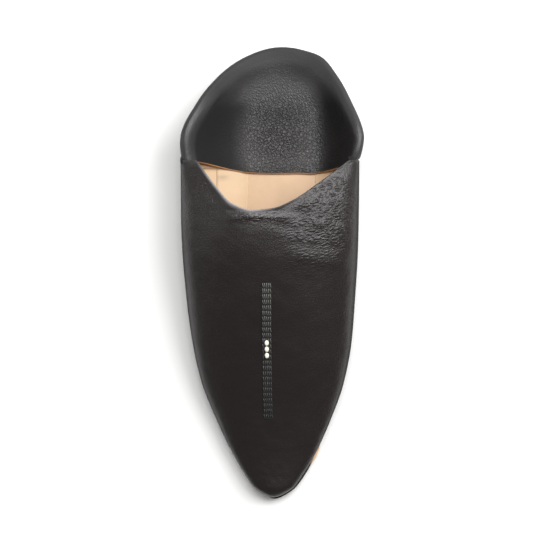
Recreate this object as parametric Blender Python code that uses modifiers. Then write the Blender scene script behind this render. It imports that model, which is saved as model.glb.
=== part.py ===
"""A babouche slipper for the right foot, with its back folded down inside.

Metres, +Z up. The toe points along +X and the inner (medial) side is +Y.
The origin is on the floor under the middle of the shoe.
"""
import math
from collections import namedtuple

import bmesh
import bpy
from mathutils import Matrix, Vector

# Overall sizes
LENGTH = 0.300
WIDTH = 0.120
INSTEP_RISE = 0.050
RIDGE_RISE = 0.034

# Sole
OUTSOLE_THICKNESS = 0.0035
SOLE_WIDTH = 0.088
ARCH_LIFT = 0.0015
TOE_SPRING = 0.0040
HEEL_ROUND = 0.036
TOE_ROUND = 0.008
SOLE_CHAMFER = 0.0004
INSOLE_THICKNESS = 0.0020

# Upper
WALL = 0.0020
SOLE_MARGIN = 0.0012
FOLD_GAP = 0.0028
LAP_STEP = 0.0010
FLAT_INSET = 0.0090
RIDGE_ROLL = 0.0075
FLAP_SWEEP = 0.0043
FLAP_BOW = 0.0012

# Trim on the vamp
BAND_WIDTH = 0.0060
BAND_THICKNESS = 0.0008
BEAD_LENGTH = 0.0037
BEAD_WIDTH = 0.0028
BEAD_PITCH = 0.0041

# Between pieces that touch
CLEARANCE = 0.0003

# Places along the shoe, as shares of its length from the back
HEEL_END = 0.007
SEAM = 0.255
FLAP_END = 0.263
TOE_END = 0.995
BAND_START = 0.519
BAND_END = 0.818
MIDDLE_BEAD = 0.661

# Shape numbers that have no length
SIDE_BULGE = 1.5
SPINE = 0.5
FLAP_EASE = 0.48
FOOT_SLANT = 2.3

# Mesh counts
SOLE_STATIONS = 40
VAMP_STATIONS = 24
SIDE_STEPS = 5
CROWN_STEPS = 8
HEEL_RAYS = 34
ROLL_STEPS = 4
WALL_STEPS = 7
FLAP_STEPS = 4
BAND_STATIONS = 24
WELD = 1e-6
SKIRT = 0.0030

SoleRow = namedtuple("SoleRow", "along lateral medial arch spring")
# lateral and medial are shares of half the sole's width, arch and spring of the two lifts
SOLE = [
    SoleRow(0.00, 0.70, 0.84, 0.0, 0.00),
    SoleRow(0.10, 0.71, 0.85, 0.0, 0.00),
    SoleRow(0.28, 0.68, 0.81, 0.0, 0.00),
    SoleRow(0.40, 0.71, 0.79, 1.0, 0.00),
    SoleRow(0.52, 0.92, 0.91, 0.0, 0.00),
    SoleRow(0.62, 1.00, 0.97, 0.0, 0.00),
    SoleRow(0.70, 0.98, 0.95, 0.0, 0.00),
    SoleRow(0.77, 0.89, 0.89, 0.0, 0.00),
    SoleRow(0.84, 0.74, 0.78, 0.0, 0.10),
    SoleRow(0.91, 0.52, 0.60, 0.0, 0.38),
    SoleRow(0.96, 0.32, 0.40, 0.0, 0.72),
    SoleRow(1.00, 0.13, 0.17, 0.0, 1.00),
]

VampRow = namedtuple("VampRow", "along lateral medial centre widest crown")
# lateral, medial and centre are shares of half the width, widest and crown of the instep's rise
VAMP = [
    VampRow(0.25, 1.000, 0.940, -0.030, 0.575, 0.83),
    VampRow(0.36, 1.000, 0.935, -0.040, 0.510, 0.99),
    VampRow(0.45, 0.990, 0.925, -0.045, 0.450, 0.97),
    VampRow(0.55, 0.955, 0.895, -0.050, 0.370, 0.86),
    VampRow(0.65, 0.895, 0.855, -0.055, 0.290, 0.70),
    VampRow(0.74, 0.800, 0.770, -0.055, 0.215, 0.55),
    VampRow(0.82, 0.645, 0.630, -0.050, 0.160, 0.42),
    VampRow(0.90, 0.455, 0.450, -0.035, 0.120, 0.30),
    VampRow(0.96, 0.275, 0.265, -0.020, 0.100, 0.22),
    VampRow(1.00, 0.115, 0.105, -0.012, 0.085, 0.17),
]

ThroatRow = namedtuple("ThroatRow", "across along")
# across is a share of half the width, from lateral (-1) to medial (+1)
THROAT = [
    ThroatRow(-0.82, 0.255),
    ThroatRow(-0.60, 0.312),
    ThroatRow(-0.42, 0.350),
    ThroatRow(-0.20, 0.365),
    ThroatRow(0.02, 0.361),
    ThroatRow(0.22, 0.345),
    ThroatRow(0.50, 0.307),
    ThroatRow(0.84, 0.255),
]

FoldRow = namedtuple("FoldRow", "turn reach ridge flat")
# turn is in degrees round the back from the lateral side, reach a share of the half width and
# of the back's depth, ridge a share of the ridge's rise, flat a share of the flat face's inset
FOLD = [
    FoldRow(0, 0.983, 0.94, 1.0),
    FoldRow(13, 1.025, 1.00, 1.0),
    FoldRow(31, 0.975, 0.86, 1.0),
    FoldRow(50, 0.954, 0.62, 1.1),
    FoldRow(72, 0.966, 0.32, 1.4),
    FoldRow(90, 0.993, 0.24, 1.9),
    FoldRow(108, 1.020, 0.26, 1.6),
    FoldRow(121, 1.047, 0.36, 1.2),
    FoldRow(133, 1.020, 0.50, 1.1),
    FoldRow(149, 1.000, 0.74, 1.0),
    FoldRow(166, 1.020, 0.97, 1.0),
    FoldRow(173, 0.985, 0.99, 1.0),
    FoldRow(180, 0.925, 0.94, 1.0),
]


def clear_scene():
    """Start from an empty file."""
    for item in list(bpy.data.objects):
        bpy.data.objects.remove(item, do_unlink=True)


def smooth(rows, key, column, place):
    """Read a table's column at a place along its key, on a smooth curve that never overshoots."""
    keys = [getattr(row, key) for row in rows]
    values = [getattr(row, column) for row in rows]
    if place <= keys[0]:
        return values[0]
    if place >= keys[-1]:
        return values[-1]
    slopes = [(values[i + 1] - values[i]) / (keys[i + 1] - keys[i]) for i in range(len(keys) - 1)]
    tangents = [slopes[0]]
    for before, after in zip(slopes, slopes[1:]):
        level = before * after <= 0
        tangents.append(0.0 if level else 2 * before * after / (before + after))
    tangents.append(slopes[-1])
    i = max(k for k in range(len(keys) - 1) if keys[k] <= place)
    step = keys[i + 1] - keys[i]
    t = (place - keys[i]) / step
    start = values[i] * (2 * t**3 - 3 * t**2 + 1) + tangents[i] * step * (t**3 - 2 * t**2 + t)
    end = values[i + 1] * (3 * t**2 - 2 * t**3) + tangents[i + 1] * step * (t**3 - t**2)
    return start + end


def x_at(along):
    """Turn a share of the length into a place on X."""
    return (along - 0.5) * LENGTH


def along_at(x):
    """Turn a place on X into a share of the length."""
    return x / LENGTH + 0.5


def side_name(side):
    """Name the table column of a side: -1 is lateral, +1 is medial."""
    return "lateral" if side < 0 else "medial"


def end_round(distance, radius):
    """Close an outline at its end: 0 at the tip, 1 from one radius in."""
    part = min(max(distance / radius, 0.0), 1.0)
    return math.sqrt(1 - (1 - part) ** 2)


def sole_edge(x, side, inset=0.0):
    """Half width of the sole on one side at x, drawn in all round by an inset."""
    share = smooth(SOLE, "along", side_name(side), along_at(x))
    heel = end_round(x - x_at(HEEL_END) - inset, HEEL_ROUND - inset)
    toe = end_round(x_at(1.0) - inset - x, TOE_ROUND)
    return max(share * SOLE_WIDTH / 2 - inset, 0.0) * min(heel, toe)


def sole_lift(x):
    """Height of the sole's underside above the floor."""
    arch = smooth(SOLE, "along", "arch", along_at(x)) * ARCH_LIFT
    spring = smooth(SOLE, "along", "spring", along_at(x)) * TOE_SPRING
    return arch + spring


def sole_top(x):
    """Height of the outsole's upper face."""
    return sole_lift(x) + OUTSOLE_THICKNESS


def seat(x):
    """Height at which the upper and the insole stand on the outsole."""
    return sole_top(x) + CLEARANCE


def flap_top(x):
    """Height of the flap's face where it lies flat on the insole."""
    return seat(x) + INSOLE_THICKNESS + CLEARANCE + WALL


def spread(count, start, end):
    """Places from start to end that bunch up at both ends."""
    middle = (start + end) / 2
    half = (end - start) / 2
    return [middle - half * math.cos(math.pi * i / count) for i in range(count + 1)]


def toeward(count, start, end):
    """Places from start to end that bunch up at the end."""
    return [start + (end - start) * math.sin(math.pi / 2 * i / count) for i in range(count + 1)]


def side_curve(part, foot, reach, base, top):
    """Outward distance and height on a side wall that swells from its foot to its widest line."""
    out = foot + (reach - foot) * (1 - (1 - part) ** SIDE_BULGE)
    return out, base + (top - base) * part


def skirt_point(foot, reach, base, top):
    """The side wall carried on below its seat, where the sole will trim it."""
    run = (reach - foot) * SIDE_BULGE
    return foot - run * SKIRT / (top - base), base - SKIRT


def vamp_shape(x):
    """Half widths, crown line and heights of the vamp at x."""
    along = along_at(x)
    half = WIDTH / 2
    tip = end_round(x_at(TOE_END) - x, TOE_ROUND)
    centre = smooth(VAMP, "along", "centre", along) * half
    lateral = smooth(VAMP, "along", "lateral", along) * half
    medial = smooth(VAMP, "along", "medial", along) * half
    widest = smooth(VAMP, "along", "widest", along) * INSTEP_RISE
    crown = smooth(VAMP, "along", "crown", along) * INSTEP_RISE
    spans = {-1: (lateral + centre) * tip, 1: (medial - centre) * tip}
    return spans, centre, widest, widest + (crown - widest) * tip


def vamp_foot(x, side, centre):
    """Distance from the crown line to the vamp's foot on the sole."""
    edge = sole_edge(x, side, SOLE_MARGIN)
    return max(edge - side * centre, 0.0)


def vamp_point(x, side, level):
    """A point of the vamp's outer face: level 0 is its foot, 1 its widest line, 2 its crown."""
    spans, centre, widest, crown = vamp_shape(x)
    base = seat(x)
    span = spans[side]
    foot = min(vamp_foot(x, side, centre), span)
    top = base + widest
    if level < 0:
        out, z = skirt_point(foot, span, base, top)
        out = max(out, 0.0)
    elif level <= 1:
        out, z = side_curve(level, foot, span, base, top)
    else:
        turn = (level - 1) * math.pi / 2
        out = span * math.cos(turn)
        z = top + (crown - widest) * math.sin(turn)
    return Vector((x, centre + side * out, z))


def vamp_columns():
    """Side and level of each line that runs along the vamp, from lateral foot to medial foot."""
    rising = [-1.0]
    rising += [i / SIDE_STEPS for i in range(SIDE_STEPS)]
    rising += [1 + i / CROWN_STEPS for i in range(CROWN_STEPS + 1)]
    lateral = [(-1, level) for level in rising]
    medial = [(1, level) for level in reversed(rising[:-1])]
    return lateral + medial


def throat_start(side, level):
    """Place on X where one of the vamp's lines leaves the throat or the side seam."""
    x = x_at(SEAM)
    if level <= 1:
        return x
    for _ in range(8):
        across = vamp_point(x, side, level).y / (WIDTH / 2)
        x = x_at(smooth(THROAT, "across", "along", across))
    return x


def vamp_rows():
    """The vamp's outer face as rows of points from throat to toe."""
    rows = []
    for side, level in vamp_columns():
        stations = toeward(VAMP_STATIONS, throat_start(side, level), x_at(TOE_END))
        rows.append([vamp_point(x, side, level) for x in stations])
    return rows


def ray_reach(start, direction, inset):
    """Distance from a start along a direction to the sole's outline, drawn in by an inset."""
    near = 0.0
    far = LENGTH
    side = -1 if direction.y < 0 else 1
    for _ in range(40):
        middle = (near + far) / 2
        place = start + direction * middle
        if abs(place.y) < sole_edge(place.x, side, inset):
            near = middle
        else:
            far = middle
    return near


def fold_ray(turn):
    """The folded back in one upright plane: foot, rolled ridge, inner wall and flat flap."""
    start = Vector((x_at(FLAP_END), 0.0))
    depth = start.x - x_at(0.0)
    reach_share = smooth(FOLD, "turn", "reach", turn)
    angle = math.radians(turn)
    back = math.sin(angle) * depth * reach_share
    across = -math.cos(angle) * WIDTH / 2 * reach_share
    if start.x - back > x_at(SEAM):
        side = -1 if across < 0 else 1
        spans, centre, _, _ = vamp_shape(start.x - back)
        limit = spans[side] + side * centre - LAP_STEP
        across = side * min(abs(across), limit)
    ridge_point = Vector((start.x - back, across))
    start.x -= back * SPINE
    reach = (ridge_point - start).length
    direction = (ridge_point - start) / reach
    roll = WALL + FOLD_GAP / 2
    base = seat(ridge_point.x)
    ridge = base + smooth(FOLD, "turn", "ridge", turn) * RIDGE_RISE
    foot = ray_reach(start, direction, SOLE_MARGIN)
    flat = ray_reach(start, direction, smooth(FOLD, "turn", "flat", turn) * FLAT_INSET)
    section = [skirt_point(foot, reach, base, ridge - roll)]
    for i in range(SIDE_STEPS + 1):
        section.append(side_curve(i / SIDE_STEPS, foot, reach, base, ridge - roll))
    for i in range(1, ROLL_STEPS + 1):
        bend = math.pi / 2 * i / ROLL_STEPS
        out = reach - roll + roll * math.cos(bend)
        section.append((out, ridge - roll + roll * math.sin(bend)))
    top = reach - roll
    run = top - flat
    landing = flap_top(ridge_point.x)
    outs = (top, top - min(RIDGE_ROLL, run / 2), flat + run * FLAP_EASE, flat)
    for i in range(1, WALL_STEPS + 1):
        t = i / WALL_STEPS
        weights = ((1 - t) ** 3, 3 * t * (1 - t) ** 2, 3 * t**2 * (1 - t), t**3)
        out = sum(w * o for w, o in zip(weights, outs))
        height = ridge * (weights[0] + weights[1]) + landing * (weights[2] + weights[3])
        section.append((out, height))
    sweep = FLAP_SWEEP * math.cos(math.radians(turn)) ** 4
    points = []
    for number, (out, height) in enumerate(section):
        place = start + direction * out
        inner = number > 1 + SIDE_STEPS + ROLL_STEPS
        forward = sweep * (top - out) / run if inner else 0.0
        points.append(Vector((place.x + forward, place.y, height)))
    landing_point = points[-1]
    edge = flap_edge_point(turn)
    for i in range(1, FLAP_STEPS + 1):
        point = landing_point.lerp(edge, i / FLAP_STEPS)
        points.append(Vector((point.x, point.y, flap_top(point.x))))
    return points


def flap_edge_point(turn):
    """The point of the flap's front edge that faces a given turn round the back."""
    start = Vector((x_at(FLAP_END), 0.0))
    lateral = -ray_reach(start, Vector((0.0, -1.0)), FLAT_INSET)
    medial = ray_reach(start, Vector((0.0, 1.0)), FLAT_INSET)
    angle = math.radians(turn)
    share = (1 - math.cos(angle)) / 2
    x = start.x + FLAP_SWEEP + FLAP_BOW * math.sin(angle)
    return Vector((x, lateral + (medial - lateral) * share, flap_top(x)))


def fold_rows():
    """The folded back's visible face as rows of points, one for each ray."""
    return [fold_ray(180 * i / HEEL_RAYS) for i in range(HEEL_RAYS + 1)]


def make_collection(name):
    """Make a collection and link it to the scene."""
    collection = bpy.data.collections.new(name)
    bpy.context.scene.collection.children.link(collection)
    return collection


def make_material(name, colour, roughness):
    """A plain Principled material."""
    material = bpy.data.materials.new(name)
    material.use_nodes = True
    shader = material.node_tree.nodes["Principled BSDF"]
    shader.inputs["Base Color"].default_value = (*colour, 1.0)
    shader.inputs["Roughness"].default_value = roughness
    shader.inputs["Metallic"].default_value = 0.0
    material.diffuse_color = (*colour, 1.0)
    return material


def make_sheet(name, rows, collection):
    """An open surface through rows of points, its ends that meet welded."""
    build = bmesh.new()
    grid = [[build.verts.new(point) for point in row] for row in rows]
    for low, high in zip(grid, grid[1:]):
        for a, b, c, d in zip(low, low[1:], high[1:], high):
            build.faces.new((a, b, c, d))
    bmesh.ops.remove_doubles(build, verts=build.verts, dist=WELD)
    bmesh.ops.dissolve_degenerate(build, edges=build.edges, dist=WELD)
    mesh = bpy.data.meshes.new(name)
    build.to_mesh(mesh)
    build.free()
    item = bpy.data.objects.new(name, mesh)
    collection.objects.link(item)
    return item


def thicken(item, thickness):
    """Give a surface its wall, behind its outer face."""
    wall = item.modifiers.new("wall", "SOLIDIFY")
    wall.thickness = thickness
    wall.offset = -1.0
    wall.use_even_offset = True
    wall.use_quality_normals = True
    split = item.modifiers.new("triangles", "TRIANGULATE")
    split.quad_method = "SHORTEST_DIAGONAL"


def combine(item, other, operation):
    """Join another solid to an item, or cut it away."""
    cut = item.modifiers.new(other.name, "BOOLEAN")
    cut.operation = operation
    cut.object = other
    cut.solver = "EXACT"
    cut.use_self = True


def hide_cutter(item):
    """Mark an object that only shapes others."""
    item.hide_render = True
    item.display_type = "WIRE"


def sole_stations():
    """Places on X at which the sole's height is worked out, shared by what touches it."""
    return spread(SOLE_STATIONS, x_at(HEEL_END), x_at(1.0))


def sole_rows(inset, height):
    """A sheet with the sole's outline, drawn in by an inset, at a height worked out from x."""
    start = x_at(HEEL_END) + inset
    end = x_at(1.0) - inset
    stations = [start] + [x for x in sole_stations() if start < x < end] + [end]
    rows = []
    for across in (-1.0, -0.5, 0.0, 0.5, 1.0):
        side = -1 if across < 0 else 1
        rows.append([Vector((x, across * sole_edge(x, side, inset), height(x))) for x in stations])
    return rows


def make_outsole(collection, material):
    """Flat leather outsole with softened edges."""
    item = make_sheet("outsole", sole_rows(0.0, sole_top), collection)
    thicken(item, OUTSOLE_THICKNESS)
    soften = item.modifiers.new("edges", "BEVEL")
    soften.width = SOLE_CHAMFER
    soften.segments = 1
    soften.limit_method = "ANGLE"
    soften.angle_limit = math.radians(60)
    item.data.materials.append(material)
    return item


def make_insole(collection, material):
    """Leather sock on the outsole, inside the upper's foot."""
    inset = SOLE_MARGIN + WALL * FOOT_SLANT + CLEARANCE
    item = make_sheet("insole", sole_rows(inset, lambda x: seat(x) + INSOLE_THICKNESS), collection)
    thicken(item, INSOLE_THICKNESS)
    item.data.materials.append(material)
    return item


def make_trim(cutters):
    """A block whose top follows the outsole, a clearance above it."""
    stations = [-LENGTH, *sole_stations(), LENGTH]
    ground = [[Vector((x, y, seat(x))) for x in stations] for y in (-WIDTH, WIDTH)]
    trim = make_sheet("sole_trim", ground, cutters)
    build = bmesh.new()
    build.from_mesh(trim.data)
    lower = bmesh.ops.extrude_face_region(build, geom=build.faces[:])
    for item in lower["geom"]:
        if isinstance(item, bmesh.types.BMVert):
            item.co.z = -LENGTH / 10
    bmesh.ops.recalc_face_normals(build, faces=build.faces)
    build.to_mesh(trim.data)
    build.free()
    hide_cutter(trim)
    return trim


def make_upper(collection, cutters, material):
    """Vamp and folded back joined as one wall, trimmed where it stands on the outsole."""
    item = make_sheet("upper", vamp_rows(), collection)
    thicken(item, WALL)
    back = make_sheet("folded_back", fold_rows(), cutters)
    thicken(back, WALL)
    hide_cutter(back)
    trim = make_trim(cutters)
    combine(item, back, "UNION")
    combine(item, trim, "DIFFERENCE")
    item.data.materials.append(material)
    return item


def crown_frame(x, across, height):
    """A point at a height above the vamp's outer face, and the slope of the crown there."""
    spans, centre, widest, crown = vamp_shape(x)
    side = -1 if across < 0 else 1
    level = 1 + math.acos(abs(across) / spans[side]) * 2 / math.pi
    point = vamp_point(x, side, level)
    step = LENGTH / 1000
    ahead = vamp_point(x + step, side, level)
    behind = vamp_point(x - step, side, level)
    forward = (ahead - behind).normalized()
    beside = vamp_point(x, side, level - 0.01 * side)
    inward = vamp_point(x, side, level - 0.02 * side)
    sideways = (inward - beside).normalized()
    normal = forward.cross(sideways).normalized()
    return point + normal * height, forward, normal


def make_band(collection, material):
    """The strip of hand stitching down the middle of the vamp."""
    height = CLEARANCE + BAND_THICKNESS
    half = BAND_WIDTH / 2
    length = x_at(BAND_END) - x_at(BAND_START)
    stations = [x_at(BAND_START) + length * i / BAND_STATIONS for i in range(BAND_STATIONS + 1)]
    rows = []
    for across in (-half, -half / 2, 0.0, half / 2, half):
        rows.append([crown_frame(x, across, height)[0] for x in stations])
    item = make_sheet("stitch_band", rows, collection)
    thicken(item, BAND_THICKNESS)
    item.data.materials.append(material)
    return item


def make_beads(collection, material):
    """Three oval beads in a row on the band."""
    height = 2 * CLEARANCE + BAND_THICKNESS + BEAD_WIDTH / 2
    items = []
    for number in (1, 2, 3):
        x = x_at(MIDDLE_BEAD) + (number - 2) * BEAD_PITCH
        place, forward, normal = crown_frame(x, 0.0, height)
        turn = Matrix((forward, normal.cross(forward), normal)).transposed().to_4x4()
        build = bmesh.new()
        bmesh.ops.create_uvsphere(build, u_segments=12, v_segments=8, radius=0.5)
        mesh = bpy.data.meshes.new(f"bead_{number}")
        size = Matrix.Diagonal((BEAD_LENGTH, BEAD_WIDTH, BEAD_WIDTH, 1.0))
        bmesh.ops.transform(build, matrix=turn @ size, verts=build.verts)
        build.to_mesh(mesh)
        build.free()
        mesh.shade_smooth()
        item = bpy.data.objects.new(f"bead_{number}", mesh)
        item.location = place
        collection.objects.link(item)
        item.data.materials.append(material)
        items.append(item)
    return items


clear_scene()
parts = make_collection("babouche_slipper")
shapers = make_collection("cutters")
black_leather = make_material("black_leather", (0.030, 0.029, 0.030), 0.45)
black_thread = make_material("black_thread", (0.020, 0.020, 0.022), 0.60)
natural_leather = make_material("natural_leather", (0.760, 0.540, 0.330), 0.60)
sole_leather = make_material("sole_leather", (0.120, 0.080, 0.055), 0.60)
bead_glaze = make_material("bead_glaze", (0.850, 0.800, 0.640), 0.30)
make_outsole(parts, sole_leather)
make_insole(parts, natural_leather)
make_upper(parts, shapers, black_leather)
make_band(parts, black_thread)
make_beads(parts, bead_glaze)
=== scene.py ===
import math
from collections import namedtuple

import bmesh
import bpy
import numpy as np
from mathutils import Matrix, Vector, noise


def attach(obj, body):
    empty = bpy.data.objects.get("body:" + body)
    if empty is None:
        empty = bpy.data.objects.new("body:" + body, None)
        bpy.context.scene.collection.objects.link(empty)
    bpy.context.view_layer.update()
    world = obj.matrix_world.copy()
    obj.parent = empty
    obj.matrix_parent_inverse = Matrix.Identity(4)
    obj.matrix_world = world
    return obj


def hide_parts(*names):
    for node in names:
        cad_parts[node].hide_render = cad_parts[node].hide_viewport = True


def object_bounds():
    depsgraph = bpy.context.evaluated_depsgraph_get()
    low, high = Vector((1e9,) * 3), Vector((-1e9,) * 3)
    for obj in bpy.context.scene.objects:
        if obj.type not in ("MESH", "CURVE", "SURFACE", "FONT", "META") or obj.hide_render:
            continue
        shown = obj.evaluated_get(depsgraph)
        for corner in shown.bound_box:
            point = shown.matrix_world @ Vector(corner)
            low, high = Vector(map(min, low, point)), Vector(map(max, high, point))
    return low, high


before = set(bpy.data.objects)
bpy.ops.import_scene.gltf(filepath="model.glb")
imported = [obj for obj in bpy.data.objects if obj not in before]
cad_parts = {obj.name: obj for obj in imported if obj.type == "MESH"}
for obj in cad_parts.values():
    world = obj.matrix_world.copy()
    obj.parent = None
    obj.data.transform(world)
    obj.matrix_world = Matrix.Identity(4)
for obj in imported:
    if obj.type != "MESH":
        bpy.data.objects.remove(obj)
cad_low, cad_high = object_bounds()

# Camera, light and floor
# The photo looks straight down from about 1.2 m, with the heel at the top of the picture.
# The camera keeps that place and turns about three degrees, so that one shoe fills the frame.
CAMERA_PLACE = Vector((-0.0059, 0.0603, 1.2000))
LENS = 118.4
FLOOR_SIZE = 6.0

Lamp = namedtuple("Lamp", "name place size power")
# place is in metres from the middle of the shoe, power in watts
LAMPS = [
    Lamp("key_light", Vector((-0.55, 0.85, 1.15)), 1.00, 25.0),
    Lamp("top_light", Vector((-0.62, -0.02, 1.55)), 0.75, 15.0),
    Lamp("side_light", Vector((-0.15, -1.25, 0.85)), 0.6, 3.0),
]


def aim(item, target, up):
    """Turn an object so that its -Z looks at a target and its +Y points up."""
    forward = (target - item.location).normalized()
    right = forward.cross(up).normalized()
    above = right.cross(forward)
    turn = Matrix((right, above, -forward)).transposed()
    item.rotation_mode = "QUATERNION"
    item.rotation_quaternion = turn.to_quaternion()


scene = bpy.context.scene
scene.view_settings.view_transform = "Standard"
middle = (cad_low + cad_high) / 2

camera = bpy.data.objects.new("camera", bpy.data.cameras.new("camera"))
camera.data.lens = LENS
camera.data.sensor_width = 36.0
camera.location = CAMERA_PLACE
aim(camera, Vector((middle.x, middle.y, 0.012)), Vector((-1.0, 0.0, 0.0)))
scene.collection.objects.link(camera)
scene.camera = camera

for lamp in LAMPS:
    light = bpy.data.lights.new(lamp.name, "AREA")
    light.energy = lamp.power
    light.size = lamp.size
    item = bpy.data.objects.new(lamp.name, light)
    item.location = middle + lamp.place
    aim(item, middle, Vector((0.0, 0.0, 1.0)))
    scene.collection.objects.link(item)

world = bpy.data.worlds.new("studio")
world.use_nodes = True
sky = world.node_tree.nodes["Background"]
sky.inputs["Color"].default_value = (1.0, 0.99, 0.98, 1.0)
sky.inputs["Strength"].default_value = 0.20
scene.world = world


def new_material(name, colour, roughness):
    """A Principled material, with its node tree and shader ready to wire."""
    material = bpy.data.materials.new(name)
    material.use_nodes = True
    shader = material.node_tree.nodes["Principled BSDF"]
    shader.inputs["Base Color"].default_value = (*colour, 1.0)
    shader.inputs["Roughness"].default_value = roughness
    material.diffuse_color = (*colour, 1.0)
    return material, material.node_tree, shader


def feed(tree, target, value):
    """Wire an input to a node's output, or set it to a plain value."""
    if isinstance(value, bpy.types.NodeSocket):
        tree.links.new(value, target)
    else:
        target.default_value = value


def add_node(tree, kind, **values):
    """Add a node and set its plain properties and its inputs, whose names have _ for a space."""
    node = tree.nodes.new(kind)
    for key, value in values.items():
        if hasattr(node, key):
            setattr(node, key, value)
        else:
            feed(tree, node.inputs[key.replace("_", " ")], value)
    return node


def add_texture(tree, kind, **values):
    """Add a texture that reads the object's own coordinates; returns its grey value."""
    place = add_node(tree, "ShaderNodeTexCoord")
    return add_node(tree, kind, Vector=place.outputs["Object"], **values).outputs["Fac"]


def add_noise(tree, scale, detail, roughness=0.5):
    """A noise texture on the object's own coordinates."""
    return add_texture(tree, "ShaderNodeTexNoise", Scale=scale, Detail=detail, Roughness=roughness)


def map_range(tree, value, **ends):
    """Map a value from one range to another."""
    return add_node(tree, "ShaderNodeMapRange", Value=value, **ends).outputs["Result"]


def mix_colours(tree, share, first, second):
    """Mix two colours, each given as a socket or as three numbers."""
    node = add_node(tree, "ShaderNodeMix", data_type="RGBA")
    feed(tree, node.inputs[0], share)
    for socket, value in ((node.inputs[6], first), (node.inputs[7], second)):
        feed(tree, socket, (*value, 1.0) if isinstance(value, tuple) else value)
    return node.outputs[2]


def read_points(tree, name):
    """The value that a mesh keeps for each of its points under a name."""
    return add_node(tree, "ShaderNodeAttribute", attribute_name=name).outputs["Fac"]


def add_bump(tree, shader, height, strength, distance):
    """Make a surface rise and fall with a height."""
    bump = add_node(tree, "ShaderNodeBump", Strength=strength, Distance=distance, Height=height)
    tree.links.new(bump.outputs["Normal"], shader.inputs["Normal"])


floor_mesh = bpy.data.meshes.new("floor")
edge = FLOOR_SIZE / 2
floor_mesh.from_pydata(
    [(-edge, -edge, 0.0), (edge, -edge, 0.0), (edge, edge, 0.0), (-edge, edge, 0.0)], [], [(0, 1, 2, 3)])
floor = bpy.data.objects.new("floor", floor_mesh)
scene.collection.objects.link(floor)
floor_look, tree, shader = new_material("floor_paper", (0.93, 0.93, 0.92), 0.9)
paper = add_noise(tree, 60.0, 3.0)
feed(tree, shader.inputs["Roughness"], map_range(tree, paper, To_Min=0.88, To_Max=0.92))
floor_mesh.materials.append(floor_look)

# Outsole
# One layer of firm leather, flat under the heel and ball, with a low arch and a little toe spring.
# Its edge is stained nearly black, and worn to bare leather in one place near the toe.
LENGTH = 0.300
WIDTH = 0.120
SOLE_WIDTH = 0.088
OUTSOLE_THICKNESS = 0.0035
ARCH_LIFT = 0.0015
TOE_SPRING = 0.0040
HEEL_ROUND = 0.036
TOE_ROUND = 0.008
HEEL_END = 0.007
CLEARANCE = 0.0003
SOLE_EDGE_ROUND = 0.0006
SOLE_OUTLINE_STEPS = 150
SOLE_ACROSS_STEPS = 16
SOLE_ROUND_STEPS = 4
BARE_PLACE = 0.1205
BARE_LENGTH = 0.0055
BARE_BULGE = 0.0008

SoleRow = namedtuple("SoleRow", "along lateral medial arch spring")
# lateral and medial are shares of half the sole's width, arch and spring of the two lifts
SOLE = [SoleRow(*row) for row in (
    (0.00, 0.70, 0.84, 0.0, 0.00),
    (0.10, 0.71, 0.85, 0.0, 0.00),
    (0.28, 0.68, 0.81, 0.0, 0.00),
    (0.40, 0.71, 0.79, 1.0, 0.00),
    (0.52, 0.92, 0.91, 0.0, 0.00),
    (0.62, 1.00, 0.97, 0.0, 0.00),
    (0.70, 0.98, 0.95, 0.0, 0.00),
    (0.77, 0.89, 0.89, 0.0, 0.00),
    (0.84, 0.74, 0.78, 0.0, 0.10),
    (0.91, 0.52, 0.60, 0.0, 0.38),
    (0.96, 0.32, 0.40, 0.0, 0.72),
    (1.00, 0.13, 0.17, 0.0, 1.00),
)]


def smooth(rows, key, column, place):
    """Read a table's column at a place along its key, on a smooth curve that never overshoots."""
    keys = [getattr(row, key) for row in rows]
    values = [getattr(row, column) for row in rows]
    if place <= keys[0]:
        return values[0]
    if place >= keys[-1]:
        return values[-1]
    slopes = [(values[i + 1] - values[i]) / (keys[i + 1] - keys[i]) for i in range(len(keys) - 1)]
    tangents = [slopes[0]]
    for before, after in zip(slopes, slopes[1:]):
        level = before * after <= 0
        tangents.append(0.0 if level else 2 * before * after / (before + after))
    tangents.append(slopes[-1])
    i = max(k for k in range(len(keys) - 1) if keys[k] <= place)
    step = keys[i + 1] - keys[i]
    t = (place - keys[i]) / step
    start = values[i] * (2 * t**3 - 3 * t**2 + 1) + tangents[i] * step * (t**3 - 2 * t**2 + t)
    end = values[i + 1] * (3 * t**2 - 2 * t**3) + tangents[i + 1] * step * (t**3 - t**2)
    return start + end


def bell(distance):
    """A soft bell: 1 in the middle, nearly 0 past twice its breadth."""
    return math.exp(-distance * distance)


def ramp(value, start, end):
    """A soft step: 0 at the start, 1 at the end, eased at both."""
    t = min(max((value - start) / (end - start), 0.0), 1.0)
    return t * t * (3 - 2 * t)


def x_at(along):
    """Turn a share of the length into a place on X."""
    return (along - 0.5) * LENGTH


def along_at(x):
    """Turn a place on X into a share of the length."""
    return x / LENGTH + 0.5


def stations(start, end, count):
    """Evenly spaced places on X between two shares of the length."""
    return [x_at(start + (end - start) * i / count) for i in range(count + 1)]


def end_round(distance, radius):
    """Close an outline at its end: 0 at the tip, 1 from one radius in."""
    part = min(max(distance / radius, 0.0), 1.0)
    return math.sqrt(1 - (1 - part) ** 2)


def sole_edge(x, side, inset=0.0):
    """Half width of the sole at x on a side, -1 lateral or 1 medial, drawn in by an inset."""
    share = smooth(SOLE, "along", "lateral" if side < 0 else "medial", along_at(x))
    heel = end_round(x - x_at(HEEL_END) - inset, HEEL_ROUND - inset)
    toe = end_round(x_at(1.0) - inset - x, TOE_ROUND)
    return max(share * SOLE_WIDTH / 2 - inset, 0.0) * min(heel, toe)


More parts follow.
